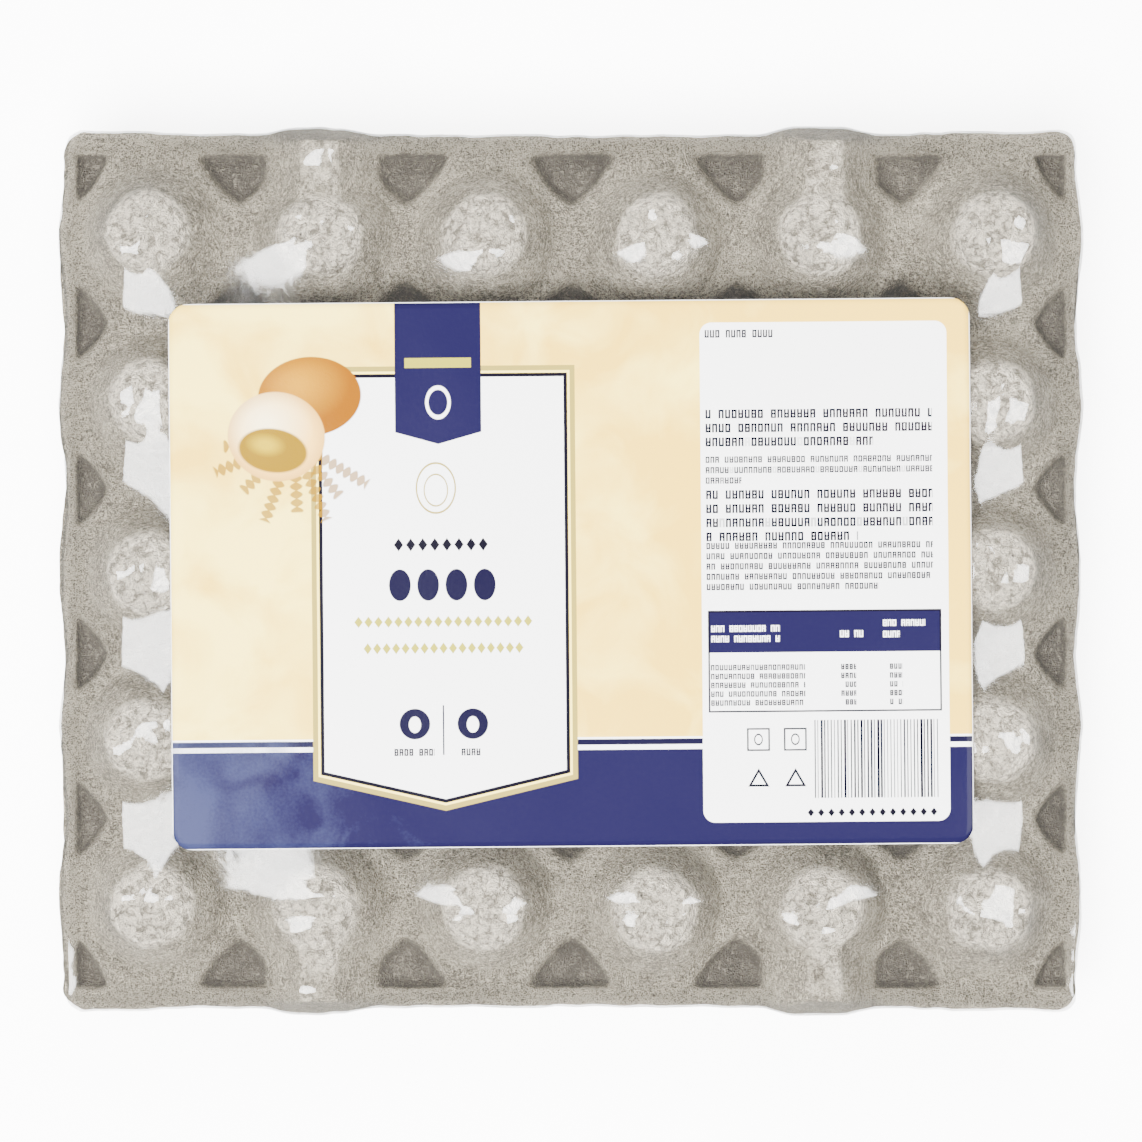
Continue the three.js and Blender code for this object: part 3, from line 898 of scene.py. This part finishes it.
@dataclass(frozen=True)
class TrayForm:
    """The relief of a tray seen from outside, as heights in mm above the plane where the trays meet."""

    cells: Cells
    seed: int
    top: float = 32.6
    rim: float = 10.5
    pit_floor: float = 2.2
    crown: float = 0.7
    top_radius: float = 9.0
    foot_radius: float = 20.2
    foot_steepening: float = 1.6
    pit_reach: float = 14.6
    pit_power: float = 1.3
    pit_slope: float = 0.44
    wall: float = 1.7
    side_wall: float = 1.2
    rib_height: float = 28.6
    rib_half: float = 4.6
    rib_end: float = 122.2

    def relief(self, x: Array, y: Array) -> Array:
        """The smooth form: domes with egg-shaped flanks, pits between them, and ribs to the long edges.

        Args:
            x: Places along the pack.
            y: Places across the pack.

        Returns:
            The height at each place.
        """
        surface = self.rim - self._pits(x, y)
        surface = soft_max(surface, self._domes(x, y), 2.6)
        return soft_max(surface, self._ribs(x, y), 2.4)

    def rough(self, x: Array, y: Array) -> Array:
        """The uneven skin: gentle lumps everywhere, and crumbs on the flat tops of domes and ribs."""
        lumps = layered_noise(x, y, ((17.0, 0.4), (7.0, 0.34), (3.4, 0.2), (1.9, 0.12)), self.seed)
        ridges = layered_noise(x, y, ((4.2, 1.0), (2.5, 0.8), (1.7, 0.45)), self.seed + 20) - 0.5
        wavering = self.top_radius + 1.1 * lattice_noise(x, y, 4.0, self.seed + 30)
        on_top = 1.0 - smooth_step((self._dome_place(x, y)[0] - wavering) / 1.6)
        across = np.abs(np.abs(x) - self.cells.rib_x) - self.rib_half
        on_rib = (1.0 - smooth_step((across + 0.8) / 1.6)) * (np.abs(y) > self.cells.half_y - 24.0)
        return lumps + ridges * np.maximum(on_top, 0.7 * on_rib)

    def _dome_place(self, x: Array, y: Array) -> tuple[Array, Array]:
        """Each place's distance from the middle of its dome, and a random number for that dome."""
        cells = self.cells
        column = np.clip(np.floor((x + cells.half_x) / cells.pitch), 0, cells.columns - 1).astype(int)
        row = np.clip(np.floor((y + cells.half_y) / cells.pitch), 0, cells.rows - 1).astype(int)
        drawn = np.random.default_rng(self.seed + 40).uniform(-1.0, 1.0, (cells.columns, cells.rows, 3))
        off = drawn[column, row]
        from_x = x - (column + 0.5) * cells.pitch + cells.half_x - 0.8 * off[..., 0]
        from_y = y - (row + 0.5) * cells.pitch + cells.half_y - 0.8 * off[..., 1]
        return np.hypot(from_x, from_y), off[..., 2]

    def _domes(self, x: Array, y: Array) -> Array:
        """Domes: a slightly crowned disc, rounded over into flanks that steepen towards the foot."""
        distance, odd = self._dome_place(x, y)
        wobble = 0.5 * lattice_noise(x, y, 9.0, self.seed + 31)
        out = (distance + wobble - self.top_radius) / (self.foot_radius - self.top_radius)
        rise = self.top - self.rim
        out = np.where(out > 1.0, 1.0 + (out - 1.0) * self.foot_steepening, out)
        flank = self.rim + rise * (1.0 - np.sign(out) * np.abs(out) ** 1.08)
        cap = self.top + 0.25 * odd - self.crown * (distance / self.top_radius) ** 2
        return soft_min(cap, flank, 1.5)

    def _pits(self, x: Array, y: Array) -> Array:
        """Pits at the junctions of cells: a floor inside |x|ᵖ + |y|ᵖ = reachᵖ, cut off sheer at the rim."""
        cells = self.cells
        from_x = np.abs(x - np.round(x / cells.pitch) * cells.pitch)
        from_y = np.abs(y + cells.pitch / 2.0 - np.round(y / cells.pitch + 0.5) * cells.pitch)
        at_side = np.abs(x) > cells.half_x - cells.pitch / 2.0
        at_edge = np.abs(y) > cells.half_y - cells.pitch / 2.0
        reach_x = np.where(at_side, 0.78, 1.0) * self.pit_reach
        reach_y = np.where(at_edge, 1.12, np.where(at_side, 0.92, 1.0)) * self.pit_reach
        out = (from_x / reach_x) ** self.pit_power + (from_y / reach_y) ** self.pit_power
        share = smooth_step((1.0 - out ** (1.0 / self.pit_power)) / self.pit_slope)
        inside = np.minimum(cells.half_x - self.side_wall - np.abs(x), cells.half_y - np.abs(y))
        return (self.rim - self.pit_floor) * share * smooth_step(inside / self.wall + 1.0)

    def _ribs(self, x: Array, y: Array) -> Array:
        """Ribs: level on top, with steep flanks, falling a little and then sheer to the long edges."""
        across = np.abs(np.abs(x) - self.cells.rib_x) - self.rib_half
        along = np.abs(y) - (self.cells.half_y - self.cells.pitch / 2.0)
        top = self.rib_height - 0.05 * np.maximum(along, 0.0)
        flank = top - 1.75 * across
        end = top - 3.2 * (np.abs(y) - self.rib_end)
        start = top + 3.0 * along
        return np.minimum(soft_min(soft_min(top, flank, 1.6), end, 2.4), start)


@dataclass
class PulpTray:
    """One moulded tray as a closed body: relief outside, an edge wall, and flat where the trays meet."""

    name: str
    node: str
    way: Way
    form: TrayForm
    outline: Outline
    finish: PulpFinish
    meeting: float
    step: float
    shift: tuple[float, float] = (0.0, 0.0)
    wall_rings: int = 9
    edge_drop: float = 1.5
    flare: float = 0.5
    gap: float = 0.2

    def heights(self, x: Array, y: Array) -> Array:
        """The finished relief: the form and its roughness, rolled down by an exponential at the edge."""
        depth = self.outline.depth(x, y)
        return self.form.relief(x, y) + self.form.rough(x, y) - self.edge_drop * np.exp(-depth / 1.4)

    def build(self) -> bpy.types.Object:
        """Builds the tray.

        Returns:
            The piece.
        """
        x, y = self.outline.spread(self.step)
        rows, columns = x.shape
        top = np.stack([x, y, self.heights(x, y)], axis=-1).reshape(-1, 3)
        loop = border_loop(columns, rows)
        edge = top[loop]
        out = outward_directions(edge[:, :2])
        rings = []
        travelled = np.cumsum(np.linalg.norm(np.roll(edge, -1, axis=0)[:, :2] - edge[:, :2], axis=1))
        for ring in range(1, self.wall_rings + 1):
            share = ring / self.wall_rings
            height = edge[:, 2] * (1.0 - share) + self.gap * share
            lump = 0.35 * lattice_noise(travelled, height, 5.0, self.form.seed + 60)
            swell = self.flare * share + lump * math.sin(math.pi * share)
            rings.append(np.column_stack([edge[:, :2] + out * swell[:, None], height]))
        points = np.concatenate([top, *rings])
        faces = [*grid_faces(columns, rows), *wall_faces(loop, len(top), self.wall_rings)]
        last = len(points) - len(loop)
        faces.append(np.arange(len(points) - 1, last - 1, -1))
        points[:, :2] += self.shift
        points[:, 2] = self.meeting + self.way.value * points[:, 2]
        if self.way is Way.DOWN:
            faces = [face[::-1] for face in faces]
        return make_piece(self.name, points, faces, self.finish.make(self.name), self.node)


@dataclass
class ShrinkFilm:
    """The film: a membrane pulled down over the lid and drawn tight round the edges."""

    lid: PulpTray
    outline: Outline
    finish: FilmFinish
    hem: float
    step: float = 1.6
    clearance: float = 0.35
    pull: float = 0.003
    edge_tension: float = 3.5
    thickness: float = 0.12
    levels: Sequence[int] = (8, 4, 2, 1)
    rounds: int = 260
    wall_rings: int = 10
    swell: float = 1.1

    def build(self) -> bpy.types.Object:
        """Builds the film.

        Returns:
            The piece.
        """
        x, y = self.outline.spread(self.step)
        rows, columns = x.shape
        height = self._drape(x, y) + self._creases(x, y)
        top = np.stack([x, y, height + self.lid.meeting], axis=-1).reshape(-1, 3)
        loop = border_loop(columns, rows)
        edge = top[loop]
        out = outward_directions(edge[:, :2])
        travelled = np.cumsum(np.linalg.norm(np.roll(edge, -1, axis=0)[:, :2] - edge[:, :2], axis=1))
        rings = []
        for ring in range(1, self.wall_rings + 1):
            share = ring / self.wall_rings
            z = edge[:, 2] * (1.0 - share) + self.hem * share
            ripple = 0.18 * lattice_noise(travelled, z * 0.4, 6.0, 91)
            tuck = 1.6 * max(0.0, share - 0.85) / 0.15
            swell = self.swell * float(smooth_step(np.array(share * 1.8))) + ripple - tuck
            rings.append(np.column_stack([edge[:, :2] + out * swell[:, None], z]))
        points = np.concatenate([top, *rings])
        faces = [*grid_faces(columns, rows), *wall_faces(loop, len(top), self.wall_rings)]
        clear = self.finish.make("clear shrink film")
        film = make_piece("film_wrap", points, faces, clear, "film")
        shell = film.modifiers.new("thickness", "SOLIDIFY")
        shell.thickness = self.thickness * MM
        shell.offset = 1.0
        return film

    def _drape(self, x: Array, y: Array) -> Array:
        """The height of the film above the meeting plane.

        A stretched membrane under an even pull rests at the mean of its four neighbours less
        pull · step² / 4, and never under what it lies on. Near an edge the neighbours along it count more,
        as the film is drawn tight that way. It's solved on coarse grids first, each the start of the next.

        Args:
            x: The grid's places along the pack.
            y: The grid's places across it.

        Returns:
            The height at each place.
        """
        inside = self.lid.outline.depth(x, y) > 0.2
        support = np.where(inside, self.lid.heights(x, y), 0.0) + self.clearance
        edge_height = self.lid.form.rim - 0.4
        to_side = self.outline.half_length - np.abs(x)
        to_edge = self.outline.half_width_end - np.abs(y)
        lean = smooth_step((to_edge - to_side) / 30.0 + 0.5)
        near = 1.0 - smooth_step((np.minimum(to_side, to_edge) - 30.0) / 30.0)
        along_y = 0.5 + (lean - 0.5) * near * (self.edge_tension - 1.0) / (self.edge_tension + 1.0)
        height = None
        for level in self.levels:
            base = support[::level, ::level]
            if height is None:
                height = np.maximum(base, edge_height)
            else:
                height = self._finer(height, base.shape)
            load = self.pull * (self.step * level) ** 2 / 4.0
            weight = along_y[::level, ::level][1:-1, 1:-1] / 2.0
            for _ in range(self.rounds):
                up_down = height[:-2, 1:-1] + height[2:, 1:-1]
                left_right = height[1:-1, :-2] + height[1:-1, 2:]
                middle = weight * up_down + (0.5 - weight) * left_right
                height[1:-1, 1:-1] = np.maximum(middle - load, base[1:-1, 1:-1])
                for border in (height[0], height[-1], height[:, 0], height[:, -1]):
                    border[:] = edge_height
        return height

    @staticmethod
    def _finer(height: Array, shape: tuple[int, int]) -> Array:
        """A grid of heights read off between its points at a finer shape, first along and then across."""
        across = np.linspace(0.0, height.shape[1] - 1.0, shape[1])
        wide = np.array([np.interp(across, np.arange(height.shape[1]), line) for line in height])
        down = np.linspace(0.0, height.shape[0] - 1.0, shape[0])
        return np.array([np.interp(down, np.arange(height.shape[0]), line) for line in wide.T]).T

    def _creases(self, x: Array, y: Array) -> Array:
        """Fine creases that run in from the edges, strongest on the slopes outside the domes."""
        depth = self.outline.depth(x, y)
        to_side = self.outline.half_length_at(y) - np.abs(x)
        to_edge = self.outline.half_width_at(x) - np.abs(y)
        across = np.where(to_side < to_edge, y, x)
        crease = np.maximum(lattice_noise(across, depth * 0.12, 5.0, 77) - 0.45, 0.0)
        return 0.8 * crease * smooth_step(depth / 4.0) * (1.0 - smooth_step((depth - 10.0) / 16.0))


@dataclass
class PackLabel:
    """The paper label: a thin sheet that dips a little between the domes it lies on."""

    cells: Cells
    under: float
    half_length: float = 113.3
    half_width: float = 77.2
    corner: float = 5.5
    centre_y: float = -0.8
    turn: float = math.radians(0.5)
    thickness: float = 0.25
    step: float = 2.0
    left_region_end: float = -76.0
    middle_region_end: float = 20.0

    def build(self) -> bpy.types.Object:
        """Builds the label.

        Returns:
            The piece.
        """
        count_x = 2 * round(self.half_length / self.step) + 1
        count_y = 2 * round(self.half_width / self.step) + 1
        flat_x, flat_y = np.meshgrid(
            np.linspace(-self.half_length, self.half_length, count_x),
            np.linspace(-self.half_width, self.half_width, count_y),
        )
        a = np.clip((np.abs(flat_x) - self.half_length + self.corner) / self.corner, 0.0, 1.0)
        b = np.clip((np.abs(flat_y) - self.half_width + self.corner) / self.corner, 0.0, 1.0)
        flat_x = flat_x + np.sign(flat_x) * self.corner * (a * np.sqrt(1.0 - b * b / 2.0) - a)
        flat_y = flat_y + np.sign(flat_y) * self.corner * (b * np.sqrt(1.0 - a * a / 2.0) - b)
        x = flat_x * math.cos(self.turn) - flat_y * math.sin(self.turn)
        y = flat_x * math.sin(self.turn) + flat_y * math.cos(self.turn) + self.centre_y
        points = np.stack([x, y, self.under + self._waves(x, y)], axis=-1).reshape(-1, 3)
        faces = grid_faces(count_x, count_y)
        finish = LabelPrint(self.half_length, self.half_width, self.centre_y, self.turn)
        label = make_piece("label_sheet", points, faces, finish.make("label print left", Region.LEFT),
                           "label")
        label.data.materials.append(finish.make("label print middle", Region.MIDDLE))
        label.data.materials.append(finish.make("label print right", Region.RIGHT))
        middles = flat_x.ravel()[faces].mean(axis=1)
        region = np.digitize(middles, (self.left_region_end, self.middle_region_end)).astype(np.int32)
        label.data.polygons.foreach_set("material_index", region)
        sheet = label.modifiers.new("thickness", "SOLIDIFY")
        sheet.thickness = self.thickness * MM
        sheet.offset = 1.0
        return label

    def _waves(self, x: Array, y: Array) -> Array:
        """Dips between the domes, from two squared sines, and a slow random wave."""
        between_x = np.cos(math.pi * x / self.cells.pitch) ** 2
        between_y = np.sin(math.pi * y / self.cells.pitch) ** 2
        return -0.35 * np.maximum(between_x, between_y) + 0.2 * lattice_noise(x, y, 34.0, 55)


class Light(Enum):
    """What a lamp is for."""

    DIFFUSE = "lights the surfaces and isn't mirrored"
    MIRRORED = "is seen in the film and lights nothing else"


@dataclass(frozen=True)
class Softbox:
    """A rectangular soft lamp: sizes in metres, strength in watts."""

    name: str
    place: tuple[float, float, float]
    size: tuple[float, float]
    watts: float
    light: Light


@dataclass
class Studio:
    """Floor, lamps and camera. The camera looks straight down, as in the photograph."""

    focus_height: float = 0.0435
    distance: float = 1.0
    seen_width: float = 0.3307
    sensor: float = 36.0
    room: float = 0.3
    floor_half: float = 3.0
    softboxes: Sequence[Softbox] = (
        Softbox("key", (-0.25, -0.36, 1.5), (0.95, 0.95), 195.0, Light.DIFFUSE),
        Softbox("fill", (0.3, 1.0, 1.2), (1.2, 0.9), 42.0, Light.DIFFUSE),
        Softbox("left", (-0.79, -0.12, 0.98), (0.48, 1.42), 45.0, Light.MIRRORED),
        Softbox("right", (0.88, -0.12, 0.92), (0.42, 1.4), 37.0, Light.MIRRORED),
    )

    def build(self) -> None:
        """Makes the floor, the camera, the lamps and the even light of the room."""
        self._camera()
        self._floor()
        for softbox in self.softboxes:
            self._lamp(softbox)
        world = bpy.data.worlds.new("room")
        world.use_nodes = True
        world.node_tree.nodes["Background"].inputs["Color"].default_value = (1.0, 1.0, 1.0, 1.0)
        world.node_tree.nodes["Background"].inputs["Strength"].default_value = self.room
        bpy.context.scene.world = world

    def _camera(self) -> None:
        """A camera over the middle of the pack whose view is seen_width across at focus_height."""
        data = bpy.data.cameras.new("camera")
        data.sensor_width = self.sensor
        data.lens = self.sensor * self.distance / self.seen_width
        camera = bpy.data.objects.new("camera", data)
        camera.location = (0.0, 0.0, self.focus_height + self.distance)
        bpy.context.scene.collection.objects.link(camera)
        bpy.context.scene.camera = camera

    def _floor(self) -> None:
        """A large square under the pack."""
        half = self.floor_half
        mesh = bpy.data.meshes.new("floor")
        corners = [(-half, -half, 0.0), (half, -half, 0.0), (half, half, 0.0), (-half, half, 0.0)]
        mesh.from_pydata(corners, [], [(0, 1, 2, 3)])
        mesh.materials.append(FloorFinish().make("studio floor"))
        floor = bpy.data.objects.new("floor", mesh)
        floor.visible_glossy = False
        bpy.context.scene.collection.objects.link(floor)

    def _lamp(self, softbox: Softbox) -> None:
        """One rectangular soft lamp aimed at the pack."""
        data = bpy.data.lights.new(softbox.name, "AREA")
        data.shape = "RECTANGLE"
        data.size, data.size_y = softbox.size
        data.energy = softbox.watts
        lamp = bpy.data.objects.new(softbox.name, data)
        lamp.location = softbox.place
        lamp.rotation_euler = look_down_from(softbox.place)
        lamp.visible_diffuse = softbox.light is Light.DIFFUSE
        lamp.visible_glossy = softbox.light is Light.MIRRORED
        bpy.context.scene.collection.objects.link(lamp)


def look_down_from(place: tuple[float, float, float]) -> tuple[float, float, float]:
    """The turn that aims a lamp at the origin: first about X, then about Z."""
    level = math.hypot(place[0], place[1])
    return (math.atan2(level, place[2]), 0.0, math.atan2(place[0], -place[1]))


def main() -> None:
    logging.basicConfig(level=logging.INFO, format="%(name)s: %(message)s")
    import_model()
    Studio().build()
    low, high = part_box("upper_tray")
    half_length, half_width = high[0] / MM, high[1] / MM
    meeting = (low[2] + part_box("lower_tray")[1][2]) / 2.0 / MM
    cells = Cells()
    lid_outline = Outline(
        cells, half_length - 0.8, half_width_end=half_width - 0.1, half_width_middle=half_width - 1.4,
        wave=0.9, bulge=2.0, ragged=0.45, seed=11,
    )
    base_outline = Outline(
        cells, half_length + 0.4, half_width_end=half_width - 0.2, half_width_middle=half_width - 1.5,
        wave=0.7, bulge=1.8, ragged=0.55, seed=23,
    )
    film_outline = replace(
        lid_outline, half_length=half_length - 0.4, half_width_end=half_width + 0.3,
        half_width_middle=half_width - 1.0,
    )
    pulp = PulpFinish(meeting)
    lid_form = TrayForm(cells, seed=101)
    base_form = TrayForm(cells, seed=202, top=31.6, crown=0.2)
    lid = PulpTray("lid_tray", "upper_tray", Way.UP, lid_form, lid_outline, pulp, meeting, step=1.0)
    base = PulpTray("base_tray", "lower_tray", Way.DOWN, base_form, base_outline, pulp, meeting, step=1.5,
                    shift=(-0.5, 0.2))
    lid.build()
    base.build()
    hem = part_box("film")[0][2] / MM
    ShrinkFilm(lid, film_outline, FilmFinish(), hem).build()
    PackLabel(cells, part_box("label")[0][2] / MM + 0.1).build()


if __name__ == "__main__":
    main()
